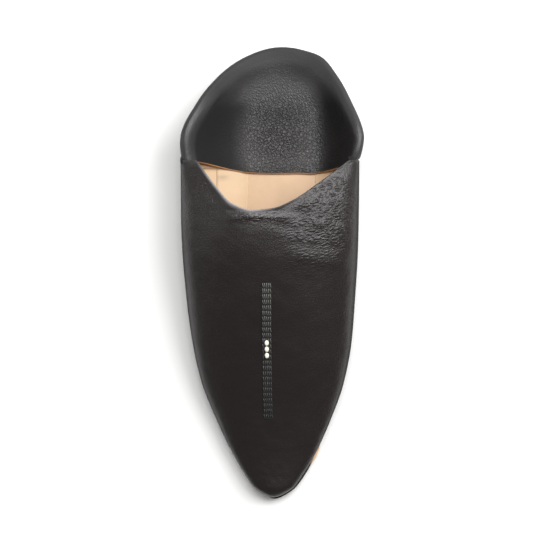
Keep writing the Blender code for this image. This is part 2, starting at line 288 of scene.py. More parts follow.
def sole_lift(x):
    """Height of the sole's underside above the floor."""
    arch = smooth(SOLE, "along", "arch", along_at(x)) * ARCH_LIFT
    spring = smooth(SOLE, "along", "spring", along_at(x)) * TOE_SPRING
    return arch + spring


def seat(x):
    """Height at which the upper and the insole stand on the outsole."""
    return sole_lift(x) + OUTSOLE_THICKNESS + CLEARANCE


def spread(count, start, end):
    """Places from start to end that bunch up at both ends."""
    centre = (start + end) / 2
    half = (end - start) / 2
    return [centre - half * math.cos(math.pi * i / count) for i in range(count + 1)]


def finish_mesh(name, build, materials):
    """Join coinciding points, smooth the faces and put the mesh into the scene."""
    bmesh.ops.remove_doubles(build, verts=build.verts, dist=1e-6)
    bmesh.ops.dissolve_degenerate(build, edges=build.edges, dist=1e-6)
    for face in build.faces:
        face.smooth = True
    mesh = bpy.data.meshes.new(name)
    build.to_mesh(mesh)
    build.free()
    for material in materials:
        mesh.materials.append(material)
    item = bpy.data.objects.new(name, mesh)
    scene.collection.objects.link(item)
    return item


def grid_object(name, rows, materials, material_of=None, outer_columns=None):
    """A smooth mesh through rows of points, its coinciding points joined.

    material_of gives a face's slot from its row and column. outer_columns tells how many
    columns lie on the outer face, which the mesh keeps in the attribute "outer".
    """
    build = bmesh.new()
    layer = build.verts.layers.float.new("outer")
    grid = [[build.verts.new(point) for point in row] for row in rows]
    for row in grid:
        for vertex in row[:outer_columns]:
            vertex[layer] = 1.0
    for r, (low, high) in enumerate(zip(grid, grid[1:])):
        for c, (p, q, s, t) in enumerate(zip(low, low[1:], high[1:], high)):
            face = build.faces.new((p, q, s, t))
            if material_of:
                face.material_index = material_of(r, c)
    return finish_mesh(name, build, materials)


def close_normals(item):
    """Point all of a closed mesh's normals outward."""
    build = bmesh.new()
    build.from_mesh(item.data)
    bmesh.ops.recalc_face_normals(build, faces=build.faces)
    build.to_mesh(item.data)
    build.free()


def sole_loop(inset, height):
    """Points across the sole at each station, at a height worked out from x."""
    places = spread(SOLE_OUTLINE_STEPS, x_at(HEEL_END) + inset, x_at(1.0) - inset)
    rows = []
    for i in range(SOLE_ACROSS_STEPS + 1):
        across = -math.cos(math.pi * i / SOLE_ACROSS_STEPS)
        side = -1 if across < 0 else 1
        rows.append([Vector((x, across * sole_edge(x, side, inset), height(x))) for x in places])
    return rows


def plate_object(name, inset, bottom, top, edge_round, materials):
    """A closed plate in the sole's outline with rounded edges: underside, edge and top."""
    layers = []
    for way, face in ((1, bottom), (-1, top)):
        for i in range(SOLE_ROUND_STEPS + 1)[::way]:
            bend = math.pi / 2 * i / SOLE_ROUND_STEPS
            rise = way * edge_round * (1 - math.cos(bend))
            drawn = edge_round * (1 - math.sin(bend))
            layers.append(sole_loop(inset + drawn, lambda x: face(x) + rise))
    build = bmesh.new()
    for rows in (layers[0], layers[-1]):
        grid = [[build.verts.new(point) for point in row] for row in rows]
        for low, high in zip(grid, grid[1:]):
            for corners in zip(low, low[1:], high[1:], high):
                build.faces.new(corners)
    rings = [[build.verts.new(point) for point in rows[0] + rows[-1][::-1]] for rows in layers]
    for low, high in zip(rings, rings[1:]):
        for corners in zip(low, low[1:] + low[:1], high[1:] + high[:1], high):
            build.faces.new(corners)
    item = finish_mesh(name, build, materials)
    close_normals(item)
    return item


def paint(item, name, value_of):
    """Keep a value for each point of a mesh, which its material reads by name."""
    layer = item.data.attributes.new(name, "FLOAT", "POINT")
    layer.data.foreach_set("value", [value_of(vertex.co) for vertex in item.data.vertices])


sole_look, tree, shader = new_material("sole_leather_look", (0.035, 0.026, 0.020), 0.60)
fibre = add_noise(tree, 420.0, 4.0, 0.6)
colour = mix_colours(tree, fibre, (0.30, 0.18, 0.095), (0.20, 0.115, 0.060))
for attribute, value in (("scuffed", (0.13, 0.085, 0.055)), ("stained", (0.0050, 0.0045, 0.0045)),
                         ("bare", (0.80, 0.50, 0.28))):
    colour = mix_colours(tree, read_points(tree, attribute), colour, value)
tree.links.new(colour, shader.inputs["Base Color"])
add_bump(tree, shader, fibre, 0.5, 0.0002)
outsole = plate_object(
    "outsole_leather", 0.0, sole_lift, lambda x: sole_lift(x) + OUTSOLE_THICKNESS,
    SOLE_EDGE_ROUND, [sole_look])
for vertex in outsole.data.vertices:
    spot = vertex.co
    if spot.y > sole_edge(spot.x, 1) - 0.002:
        spot.y += BARE_BULGE * ramp(BARE_LENGTH - abs(spot.x - BARE_PLACE), 0.0, 0.003)
paint(outsole, "scuffed", lambda spot: 0.5 + 0.9 * noise.noise(spot * 60) + 0.5 * noise.noise(spot * 210))
paint(outsole, "stained", lambda spot: ramp(spot.z - sole_lift(spot.x), 0.0001, 0.0005))
paint(outsole, "bare", lambda spot: (
    ramp(BARE_LENGTH - abs(spot.x - BARE_PLACE) + 0.002 * noise.noise(spot * 300), -0.0020, 0.0035)
    * ramp(spot.y - sole_edge(spot.x, 1), -0.0012, -0.0002)
    * ramp(spot.z - sole_lift(spot.x) + 0.0008 * noise.noise(spot * 700), 0.0004, 0.0018)))
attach(outsole, "root")
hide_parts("outsole")

# Insole
# A thin sock of natural leather on the outsole. A narrower strip of the same leather lies down
# its middle, and beside it the upper's lining turns in under the strip.
INSOLE_THICKNESS = 0.0020
WALL = 0.0020
SOLE_MARGIN = 0.0012
FOOT_SLANT = 2.3

STRIP_THICKNESS = 0.0005
STRIP_LATERAL = 0.61
STRIP_MEDIAL = 0.79
STRIP_STEPS = 120
STRIP_SPAN = (0.03, 0.90)
STRIP_RIM = 0.97
STRIP_SINK = 0.0001


def natural_leather(name, colour, deep):
    """Undyed vegetable-tanned leather: soft patches and fine fibres, soiled where its piece keeps dirt."""
    material, tree, shader = new_material(name, colour, 0.58)
    patches = add_noise(tree, 45.0, 4.0, 0.6)
    share = map_range(tree, patches, From_Min=0.40, From_Max=0.75)
    tone = mix_colours(tree, share, colour, deep)
    soiled = mix_colours(tree, read_points(tree, "dirt"), tone, (0.25, 0.19, 0.14))
    tree.links.new(soiled, shader.inputs["Base Color"])
    fibre = add_noise(tree, 900.0, 3.0)
    add_bump(tree, shader, fibre, 0.5, 0.00010)
    return material


natural_look = natural_leather("natural_leather_look", (0.60, 0.43, 0.270), (0.53, 0.36, 0.210))
strip_look = natural_leather("insole_strip_look", (0.62, 0.43, 0.275), (0.55, 0.38, 0.235))
insole = plate_object(
    "insole_sock", SOLE_MARGIN + WALL * FOOT_SLANT - CLEARANCE, seat,
    lambda x: seat(x) + INSOLE_THICKNESS, 0.0003, [natural_look])
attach(insole, "root")
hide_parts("insole")

strip_rows = []
for across in (-1.0, -0.985, -STRIP_RIM, -0.5, 0.0, 0.5, STRIP_RIM, 0.985, 1.0):
    side, share = (-1, STRIP_LATERAL) if across < 0 else (1, STRIP_MEDIAL)
    rim = math.sqrt(max(1 - max((abs(across) - STRIP_RIM) / (1 - STRIP_RIM), 0.0) ** 2, 0.0))
    line = []
    for x in stations(*STRIP_SPAN, STRIP_STEPS):
        y = across * share * sole_edge(x, side)
        line.append(Vector((x, y, seat(x) + INSOLE_THICKNESS - STRIP_SINK + STRIP_THICKNESS * rim)))
    strip_rows.append(line)
strip = grid_object("insole_strip", strip_rows, [strip_look])
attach(strip, "root")
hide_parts("insole")

# Vamp
# The front of the upper: black leather over a tan lining, pulled over a wide flat last with a
# low pointed toe. Its top edge is turned over round the throat.
INSTEP_RISE = 0.050
SIDE_BULGE = 1.5
SEAM = 0.255
TOE_END = 0.995
VAMP_STATIONS = 200
VAMP_SIDE_STEPS = 14
VAMP_CROWN_STEPS = 40
ROLL_ARC_STEPS = 8

VampRow = namedtuple("VampRow", "along lateral medial centre widest crown")
# lateral, medial and centre are shares of half the width, widest and crown of the instep's rise
VAMP = [VampRow(*row) for row in (
    (0.25, 1.000, 0.940, -0.030, 0.575, 0.83),
    (0.36, 1.000, 0.935, -0.040, 0.510, 0.99),
    (0.45, 0.990, 0.925, -0.045, 0.450, 0.97),
    (0.55, 0.955, 0.895, -0.050, 0.370, 0.86),
    (0.65, 0.895, 0.855, -0.055, 0.290, 0.70),
    (0.74, 0.800, 0.770, -0.055, 0.215, 0.55),
    (0.82, 0.645, 0.630, -0.050, 0.160, 0.42),
    (0.90, 0.455, 0.450, -0.035, 0.120, 0.30),
    (0.96, 0.275, 0.265, -0.020, 0.100, 0.22),
    (1.00, 0.115, 0.105, -0.012, 0.085, 0.17),
)]

ThroatRow = namedtuple("ThroatRow", "across along")
# across is a share of half the width, from lateral (-1) to medial (+1)
THROAT = [ThroatRow(*row) for row in (
    (-0.82, 0.255),
    (-0.60, 0.312),
    (-0.42, 0.350),
    (-0.20, 0.365),
    (0.02, 0.361),
    (0.22, 0.345),
    (0.50, 0.307),
    (0.84, 0.255),
)]


def side_curve(part, foot, reach, base, top):
    """Outward distance and height on a side wall that swells from its foot to its widest line."""
    out = foot + (reach - foot) * (1 - (1 - part) ** SIDE_BULGE)
    return out, base + (top - base) * part


def vamp_shape(x, inset=0.0):
    """Half widths, crown line and heights of the vamp at x, drawn in by an inset."""
    along = along_at(x)
    half = WIDTH / 2
    tip = end_round(x_at(TOE_END) - inset - x, TOE_ROUND)
    centre = smooth(VAMP, "along", "centre", along) * half
    lateral = smooth(VAMP, "along", "lateral", along) * half - inset
    medial = smooth(VAMP, "along", "medial", along) * half - inset
    widest = smooth(VAMP, "along", "widest", along) * INSTEP_RISE
    crown = max(smooth(VAMP, "along", "crown", along) * INSTEP_RISE - inset, widest)
    spans = {-1: (lateral + centre) * tip, 1: (medial - centre) * tip}
    return spans, centre, widest, widest + (crown - widest) * tip


def vamp_point(x, side, level, inset=0.0):
    """A point of the vamp's outer face: level 0 is its foot, 1 its widest line, 2 its crown."""
    spans, centre, widest, crown = vamp_shape(x, inset)
    base = seat(x)
    span = max(spans[side], 0.0)
    edge = sole_edge(x, side, SOLE_MARGIN + inset * FOOT_SLANT)
    foot = min(max(edge - side * centre, 0.0), span)
    top = base + widest
    if level <= 1:
        out, z = side_curve(level, foot, span, base, top)
    else:
        turn = (level - 1) * math.pi / 2
        out = span * math.cos(turn)
        z = top + (crown - widest) * math.sin(turn)
    return Vector((x, centre + side * out, z))


def vamp_columns():
    """Side and level of each line that runs along the vamp, from lateral foot to medial foot."""
    rising = [i / VAMP_SIDE_STEPS for i in range(VAMP_SIDE_STEPS)]
    rising += [1 + i / VAMP_CROWN_STEPS for i in range(VAMP_CROWN_STEPS + 1)]
    return [(-1, level) for level in rising] + [(1, level) for level in rising[-2::-1]]


def throat_start(side, level, inset=0.0):
    """Place on X where one of the vamp's lines leaves the throat or the side seam."""
    x = x_at(SEAM)
    if level <= 1:
        return x
    for _ in range(8):
        across = vamp_point(x, side, level, inset).y / (WIDTH / 2)
        x = x_at(smooth(THROAT, "across", "along", across))
    return x


def vamp_line(side, level, inset):
    """Points along one line of the vamp's face from throat to toe."""
    start = throat_start(side, level, inset) + WALL / 2
    end = x_at(TOE_END) - inset
    line = []
    for i in range(VAMP_STATIONS + 1):
        t = i / VAMP_STATIONS
        t = 0.55 * t + 0.45 * math.sin(math.pi / 2 * t)
        line.append(vamp_point(start + (end - start) * t, side, level, inset))
    return line


def roll_over(outer, inner, forward):
    """Half a turn from an outer point to an inner one, bulging the other way from forward."""
    centre = (outer + inner) / 2
    half = (outer - inner) / 2
    points = []
    for i in range(1, ROLL_ARC_STEPS):
        bend = math.pi * i / ROLL_ARC_STEPS
        points.append(centre + half * math.cos(bend) - forward * half.length * math.sin(bend))
    return points


outer_lines = [vamp_line(side, level, 0.0) for side, level in vamp_columns()]
inner_lines = [vamp_line(side, level, WALL) for side, level in vamp_columns()]
rows = []
for outer, inner in zip(outer_lines, inner_lines):
    forward = (outer[1] - outer[0]).normalized()
    rows.append(outer[::-1] + roll_over(outer[0], inner[0], forward) + inner)
lined = VAMP_STATIONS + ROLL_ARC_STEPS - 1

Blob = namedtuple("Blob", "along across length breadth value")
# places are shares as in the tables above, length and breadth shares of the same kind

VAMP_GRAIN = [Blob(*row) for row in (
    (0.36, 0.60, 0.09, 0.34, 0.14),
    (0.35, -0.80, 0.08, 0.20, 0.35),
)]
VAMP_WRINKLE = [Blob(*row) for row in (
    (0.335, 0.64, 0.075, 0.30, 0.48),
    (0.415, 0.50, 0.05, 0.32, 0.36),
    (0.47, 0.40, 0.05, 0.30, 0.12),
    (0.385, -0.10, 0.02, 0.30, 0.16),
)]

VAMP_GLOSS = [Blob(0.381, -0.14, 0.011, 0.28, 0.30)]

# The whole face lies this much lower, so that its ridges stay inside the shoe's height.
FACE_DROP = 0.00025
Crease = namedtuple("Crease", "along across to_along to_across bow breadth rise")
# from one place to another as shares, bow and breadth in metres, rise above the face in metres
CREASES = [Crease(*row) for row in (
    (0.3680, -0.46, 0.3685, 0.10, 0.0012, 0.0010, -0.00045),
    (0.3830, -0.46, 0.3810, 0.18, 0.0012, 0.0023, 0.00050),
    (0.3980, -0.40, 0.4000, 0.22, 0.0010, 0.0055, 0.00015),
    (0.3830, -0.52, 0.3830, 0.30, 0.0012, 0.0110, -0.00040),
    (0.362, 0.22, 0.345, 0.46, 0.0000, 0.0016, 0.00040),
    (0.360, 0.26, 0.398, 0.36, 0.0015, 0.0026, -0.00050),
    (0.398, 0.10, 0.412, 0.52, -0.0010, 0.0024, -0.00035),
    (0.372, 0.42, 0.384, 0.78, -0.0012, 0.0020, -0.00035),
    (0.352, 0.50, 0.358, 0.84, -0.0010, 0.0016, -0.00030),
    (0.334, 0.60, 0.336, 0.88, -0.0008, 0.0014, -0.00030),
    (0.392, 0.50, 0.402, 0.86, -0.0010, 0.0020, 0.00030),
    (0.432, 0.25, 0.446, 0.70, -0.0012, 0.0026, -0.00030),
    (0.462, 0.30, 0.478, 0.76, -0.0012, 0.0028, 0.00025),
    (0.318, 0.58, 0.300, 0.80, 0.0006, 0.0018, 0.00030),
    (0.290, -0.95, 0.345, -0.86, 0.0010, 0.0026, 0.00035),
    (0.300, -0.72, 0.350, -0.60, 0.0008, 0.0024, -0.00030),
    (0.350, -0.98, 0.420, -0.92, 0.0010, 0.0028, -0.00030),
    (0.372, -0.80, 0.366, -0.55, 0.0008, 0.0026, -0.00025),
    (0.400, -0.92, 0.396, -0.66, 0.0008, 0.0030, 0.00025),
    (0.270, -0.99, 0.268, -0.86, 0.0004, 0.0012, -0.00040),
)]


def blob_sum(blobs, spot):
    """Add up soft spots at a place on the shoe, up to 1."""
    along = along_at(spot.x)
    across = spot.y / (WIDTH / 2)
    total = 0.0
    for blob in blobs:
        total += blob.value * bell(math.hypot(
            (along - blob.along) / blob.length, (across - blob.across) / blob.breadth))
    return min(total, 1.0)


def crease_rise(spot):
    """How far the listed creases and the leather's own unevenness lift a place."""
    flat = Vector((spot.x, spot.y))
    total = 0.0
    for crease in CREASES:
        start = Vector((x_at(crease.along), crease.across * WIDTH / 2))
        end = Vector((x_at(crease.to_along), crease.to_across * WIDTH / 2))
        run = end - start
        t = min(max((flat - start).dot(run) / run.length_squared, 0.0), 1.0)
        across = Vector((-run.y, run.x)).normalized()
        middle = start + run * t + across * crease.bow * 4 * t * (1 - t)
        total += crease.rise * bell((flat - middle).length / crease.breadth)
    total += 0.00022 * noise.noise(spot * 90) + 0.00010 * noise.noise(spot * 260)
    return total - FACE_DROP


def throat_edge_highlight(spot):
    """Painted highlight along the throat's turned edge, most on its lateral half."""
    across = spot.y / (WIDTH / 2)
    behind = spot.x - x_at(smooth(THROAT, "across", "along", across))
    lateral = ramp(across, 0.10, -0.25) * ramp(across, -0.85, -0.65)
    return bell((behind - 0.0004) / 0.0013) * (0.12 + 0.88 * lateral)


def vamp_dull_and_shade(spot, normal):
    """Dullness of the vamp, with painted shade: most on the steep sides, more on the medial side, least on the
    creases under the throat.
    """
    along = along_at(spot.x)
    side = 0.95 if normal.y > 0 else 0.75
    steep = ramp(normal.z, 0.62, 0.28) * side * ramp(along, 0.93, 0.84)
    return steep - blob_sum(VAMP_GLOSS, spot)


def lift_outer(item, rise_of):
    """Move the outer face's points along their normals, where it looks up."""
    side = item.data.attributes["outer"].data
    normals = [vertex.normal.copy() for vertex in item.data.vertices]
    for vertex, normal, outer in zip(item.data.vertices, normals, side):
        if outer.value > 0.5:
            vertex.co += normal * rise_of(vertex.co) * ramp(normal.z, 0.0, 0.35)


def group_tree(name, kind, inputs, outputs):
    """An empty node group with named sockets, and its own inputs and outputs to wire."""
    tree = bpy.data.node_groups.new(name, kind)
    for way, sockets in (("INPUT", inputs), ("OUTPUT", outputs)):
        for socket, holds in sockets.items():
            tree.interface.new_socket(socket, in_out=way, socket_type="NodeSocket" + holds)
    return tree, tree.nodes.new("NodeGroupInput").outputs, tree.nodes.new("NodeGroupOutput").inputs


def maths(tree, operation, first, second):
    """A Math node on sockets or plain numbers; returns its output."""
    node = add_node(tree, "ShaderNodeMath", operation=operation)
    feed(tree, node.inputs[0], first)
    feed(tree, node.inputs[1], second)
    return node.outputs[0]


def times(tree, first, second):
    """The product of two sockets or plain numbers."""
    return maths(tree, "MULTIPLY", first, second)


relief, asked, given = group_tree(
    "leather_relief", "ShaderNodeTree", {"Place": "Vector", "Grain": "Float", "Wrinkle": "Float"},
    {"Height": "Float", "Valley": "Float"})
place = asked["Place"]
warp = add_node(relief, "ShaderNodeTexNoise", Vector=place, Scale=300.0, Detail=1.0)
moved = add_node(relief, "ShaderNodeVectorMath", operation="MULTIPLY_ADD")
for socket, value in zip(moved.inputs, (warp.outputs["Color"], (0.0010, 0.0010, 0.0010), place)):
    feed(relief, socket, value)
stretch = add_node(
    relief, "ShaderNodeMapping", vector_type="TEXTURE", Vector=moved.outputs[0],
    Rotation=(0.0, 0.0, math.radians(12)), Scale=(1.0, 2.8, 2.8))


def cell_domes(vector, scale, edge_width):
    """Rounded cells: 0 on their borders, 1 from a distance inside them."""
    cells = add_node(
        relief, "ShaderNodeTexVoronoi", feature="DISTANCE_TO_EDGE", Vector=vector, Scale=scale)
    return map_range(relief, cells.outputs["Distance"], interpolation_type="SMOOTHSTEP", From_Max=edge_width)


pebbles = maths(
    relief, "ADD", times(relief, cell_domes(moved.outputs[0], 480.0, 0.28), 0.62),
    times(relief, cell_domes(moved.outputs[0], 860.0, 0.30), 0.38))
furrow = cell_domes(stretch.outputs["Vector"], 560.0, 0.42)
pores = add_node(relief, "ShaderNodeTexNoise", Vector=place, Scale=2600.0, Detail=2.0)
height = maths(
    relief, "ADD", times(relief, pebbles, asked["Grain"]), times(relief, furrow, asked["Wrinkle"]))
height = maths(relief, "ADD", height, times(relief, pores.outputs["Fac"], 0.10))
relief.links.new(height, given["Height"])
relief.links.new(pebbles, given["Valley"])


def black_leather(name, dark, light, wear_and_sheen_colour, roughness, depth):
    """Black leather whose grain, wrinkles, wear with painted sheen, and dullness with painted shade follow the
    attributes of its piece.
    """
    material, tree, shader = new_material(name, dark, roughness)
    place = add_node(tree, "ShaderNodeTexCoord")
    grain = read_points(tree, "grain")
    group = add_node(tree, "ShaderNodeGroup", node_tree=relief)
    for socket, value in zip(group.inputs, (place.outputs["Object"], grain, read_points(tree, "wrinkle"))):
        tree.links.new(value, socket)
    add_bump(tree, shader, group.outputs["Height"], 1.0, depth)
    patches = add_noise(tree, 28.0, 3.0)
    # The dull mark makes the leather rougher and turns its colour nearly black: painted shade.
    dull = read_points(tree, "dull")
    deep = mix_colours(tree, dull, mix_colours(tree, patches, dark, light), (0.0020, 0.0017, 0.0018))
    tops = maths(tree, "SUBTRACT", times(tree, group.outputs["Valley"], 2.10), 1.0)
    tops = maths(tree, "ADD", times(tree, tops, grain), 1.0)
    # Paler on the grain's tops where its piece is marked: wear, and painted sheen.
    rubbed = times(tree, read_points(tree, "rubbed"), tops)
    tree.links.new(mix_colours(tree, rubbed, deep, wear_and_sheen_colour), shader.inputs["Base Color"])
    gloss = map_range(tree, patches, To_Min=roughness + 0.10, To_Max=roughness - 0.06)
    rough = maths(tree, "ADD", gloss, times(tree, dull, 0.55))
    tree.links.new(rough, shader.inputs["Roughness"])
    return material


# The vamp's pale third colour is a painted highlight along the throat's turned edge.
vamp_look = black_leather(
    "vamp_leather_look", (0.0078, 0.0050, 0.0049), (0.0120, 0.0080, 0.0075), (0.30, 0.29, 0.30),
    0.35, 0.00055)
vamp = grid_object(
    "vamp", rows, [vamp_look, natural_look], lambda r, c: 1 if c > lined else 0, VAMP_STATIONS + 1)
close_normals(vamp)
lift_outer(vamp, crease_rise)
paint(vamp, "grain", lambda spot: 0.08 + 0.90 * blob_sum(VAMP_GRAIN, spot))
paint(vamp, "wrinkle", lambda spot: blob_sum(VAMP_WRINKLE, spot))
# Painted highlight along the throat's turned edge.
paint(vamp, "rubbed", throat_edge_highlight)
# Painted shade, with duller leather, on the vamp's steep sides.
layer = vamp.data.attributes.new("dull", "FLOAT", "POINT")
layer.data.foreach_set("value", [vamp_dull_and_shade(vertex.co, vertex.normal) for vertex in vamp.data.vertices])
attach(vamp, "root")
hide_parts("upper")

# Lining foot
# Where the vamp's lining meets the insole it turns in and is pasted down under the strip, so
# the corner is a soft slope and not a groove.
LINING_SPAN = (0.246, 0.90)
LINING_STATIONS = 110
LINING_STEPS = 12
LINING_LEVEL = 0.30
LINING_THICKNESS = 0.0004
LINING_OVERLAP = 0.0010
STAIN_PLACE = (-0.0632, -0.0346)
STAIN_SIZE = (0.0014, 0.0038)


def stain(spot):
    """A faint mark on the lateral lining."""
    return 0.55 * bell(math.hypot(
        (spot.x - STAIN_PLACE[0]) / STAIN_SIZE[0], (spot.y - STAIN_PLACE[1]) / STAIN_SIZE[1]))


for side, share, name in ((-1, STRIP_LATERAL, "lateral_lining"), (1, STRIP_MEDIAL, "medial_lining")):
    lining_rows = []
    for x in stations(*LINING_SPAN, LINING_STATIONS):
        floor_height = seat(x) + INSOLE_THICKNESS + 0.00005
        start = Vector((x, side * (share * sole_edge(x, side) - LINING_OVERLAP), floor_height))
        rim = sole_edge(x, side, SOLE_MARGIN + WALL * FOOT_SLANT - LINING_OVERLAP)
        corner = Vector((x, side * rim, floor_height))
        end = vamp_point(x, side, LINING_LEVEL, WALL)
        line = []
        for k in range(LINING_STEPS + 1):
            t = k / LINING_STEPS
            line.append(start * (1 - t) ** 2 + corner * 2 * t * (1 - t) + end * t**2)
        lining_rows.append(line)
    lining = grid_object(name, lining_rows, [natural_look])
    paint(lining, "dirt", stain)
    close_up = lining.modifiers.new("thickness", "SOLIDIFY")
    close_up.thickness = LINING_THICKNESS
    close_up.offset = -1.0 if side > 0 else 1.0
    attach(lining, "root")
    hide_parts("upper")

# Folded back
# The back of the upper, pushed down inside the shoe and worn flat: a wall that rises from the
# sole, a soft rolled ridge, and a flap that slopes down to lie on the insole.
RIDGE_RISE = 0.034
FLAP_END = 0.263
FOLD_GAP = 0.0028
LAP_STEP = 0.0010
FLAT_INSET = 0.0090
RIDGE_ROLL = 0.0075
FLAP_SWEEP = 0.0043
FLAP_BOW = 0.0012
SPINE = 0.5
FLAP_EASE = 0.48
BACK_RAYS = 150
SIDE_ROOM = 0.00015
BACK_SIDE_STEPS = 12
BACK_ROLL_STEPS = 10
BACK_WALL_STEPS = 36
BACK_FLAP_STEPS = 24

FoldRow = namedtuple("FoldRow", "turn reach ridge flat")
# turn is in degrees round the back from the lateral side, reach a share of the half width and
# of the back's depth, ridge a share of the ridge's rise, flat a share of the flat face's inset
FOLD = [FoldRow(*row) for row in (
    (0, 0.983, 0.94, 1.0),
    (13, 1.025, 1.00, 1.0),
    (31, 0.975, 0.86, 1.0),
    (50, 0.954, 0.62, 1.1),
    (72, 0.966, 0.32, 1.4),
    (90, 0.993, 0.24, 1.9),
    (108, 1.020, 0.26, 1.6),
    (121, 1.047, 0.36, 1.2),
    (133, 1.020, 0.50, 1.1),
    (149, 1.000, 0.74, 1.0),
    (166, 1.020, 0.97, 1.0),
    (173, 0.985, 0.99, 1.0),
    (180, 0.925, 0.94, 1.0),
)]


def flap_top(x):
    """Height of the flap's face where it lies flat on the insole."""
    return seat(x) + INSOLE_THICKNESS + CLEARANCE + WALL


def ray_reach(start, direction, inset):
    """Distance from a start along a direction to the sole's outline, drawn in by an inset."""
    near = 0.0
    far = LENGTH
    side = -1 if direction.y < 0 else 1
    for _ in range(30):
        centre = (near + far) / 2
        spot = start + direction * centre
        if abs(spot.y) < sole_edge(spot.x, side, inset):
            near = centre
        else:
            far = centre
    return near


def flap_edge_point(turn):
    """The point of the flap's front edge that faces a given turn round the back."""
    start = Vector((x_at(FLAP_END), 0.0))
    lateral = -ray_reach(start, Vector((0.0, -1.0)), FLAT_INSET)
    medial = ray_reach(start, Vector((0.0, 1.0)), FLAT_INSET)
    angle = math.radians(turn)
    share = (1 - math.cos(angle)) / 2
    x = start.x + FLAP_SWEEP + FLAP_BOW * math.sin(angle)
    return Vector((x, lateral + (medial - lateral) * share, flap_top(x)))


def fold_ray(turn):
    """The folded back in one upright plane: foot, rolled ridge, inner wall and flat flap."""
    start = Vector((x_at(FLAP_END), 0.0))
    depth = start.x - x_at(0.0)
    reach_share = smooth(FOLD, "turn", "reach", turn)
    angle = math.radians(turn)
    back = math.sin(angle) * depth * reach_share
    across = -math.cos(angle) * (WIDTH / 2 - SIDE_ROOM) * reach_share
    if start.x - back > x_at(SEAM):
        side = -1 if across < 0 else 1
        spans, centre, _, _ = vamp_shape(start.x - back)
        limit = spans[side] + side * centre - LAP_STEP
        across = side * min(abs(across), limit)
    ridge_point = Vector((start.x - back, across))
    start.x -= back * SPINE
    reach = (ridge_point - start).length
    direction = (ridge_point - start) / reach
    roll = WALL + FOLD_GAP / 2
    base = seat(ridge_point.x)
    ridge = base + smooth(FOLD, "turn", "ridge", turn) * RIDGE_RISE
    foot = ray_reach(start, direction, SOLE_MARGIN)
    flat = ray_reach(start, direction, smooth(FOLD, "turn", "flat", turn) * FLAT_INSET)
    section = []
    for i in range(BACK_SIDE_STEPS + 1):
        section.append(side_curve(i / BACK_SIDE_STEPS, foot, reach, base, ridge - roll))
    for i in range(1, BACK_ROLL_STEPS + 1):
        bend = math.pi / 2 * i / BACK_ROLL_STEPS
        section.append((reach - roll + roll * math.cos(bend), ridge - roll + roll * math.sin(bend)))
    top = reach - roll
    run = top - flat
    landing = flap_top(ridge_point.x)
    outs = (top, top - min(RIDGE_ROLL, run / 2), flat + run * FLAP_EASE, flat)
    for i in range(1, BACK_WALL_STEPS + 1):
        t = i / BACK_WALL_STEPS
        weights = ((1 - t) ** 3, 3 * t * (1 - t) ** 2, 3 * t**2 * (1 - t), t**3)
        out = sum(w * o for w, o in zip(weights, outs))
        height = ridge * (weights[0] + weights[1]) + landing * (weights[2] + weights[3])
        section.append((out, height))
    sweep = FLAP_SWEEP * math.cos(math.radians(turn)) ** 4
    points = []
    for number, (out, height) in enumerate(section):
        spot = start + direction * out
        inner = number > BACK_SIDE_STEPS + BACK_ROLL_STEPS
        forward = sweep * (top - out) / run if inner else 0.0
        points.append(Vector((spot.x + forward, spot.y, height)))
    landing_point = points[-1]
    edge = flap_edge_point(turn)
    for i in range(1, BACK_FLAP_STEPS + 1):
        point = landing_point.lerp(edge, i / BACK_FLAP_STEPS)
        points.append(Vector((point.x, point.y, flap_top(point.x))))
    return points


def soften(rows, first, last, rounds):
    """Ease a grid's points between two columns towards their neighbours, most at its middle row."""
    grid = np.array([[tuple(point) for point in row] for row in rows])
    turn = np.linspace(0.0, math.pi, len(rows))[1:-1, None, None]
    ease = 0.5 * np.sin(turn) ** 4
    for _ in range(rounds):
        inside = grid[1:-1, first:last]
        around = (grid[:-2, first:last] + grid[2:, first:last]
                  + grid[1:-1, first - 1:last - 1] + grid[1:-1, first + 1:last + 1]) / 4
        grid[1:-1, first:last] = inside + (around - inside) * ease
    return [[Vector(point) for point in row] for row in grid.tolist()]


CUT_BEVEL = 0.0007
SIDE_TUCK = 0.0018
CUT_BENDS = (30.0, 60.0, 90.0)
BACK_GRAIN = [Blob(*row) for row in (
    (0.215, 0.05, 0.068, 0.42, 1.00),
    (0.165, 0.05, 0.060, 0.45, 0.22),
)]


def settle(spot):
    """How far the flap's front edge lies off the straight: back laterally, forward medially."""
    front = ramp(spot.x, -0.095, -0.070)
    lateral = -0.0018 * ramp(-spot.y, 0.022, 0.048) * ramp(-spot.y, 0.0560, 0.0520)
    medial = 0.0013 * ramp(spot.y, 0.014, 0.030) * ramp(spot.y, 0.0520, 0.0480)
    return front * (lateral + medial - CUT_BEVEL)


def from_outline(spot):
    """Turn round the back in degrees, and roughly how far inside the outline a place lies."""
    back = (x_at(FLAP_END) - spot.x) / (x_at(FLAP_END) - x_at(0.0))
    across = spot.y / (WIDTH / 2)
    turn = math.degrees(math.atan2(max(back, 0.0), -across))
    return turn, (smooth(FOLD, "turn", "reach", turn) - math.hypot(back, across)) * WIDTH / 2


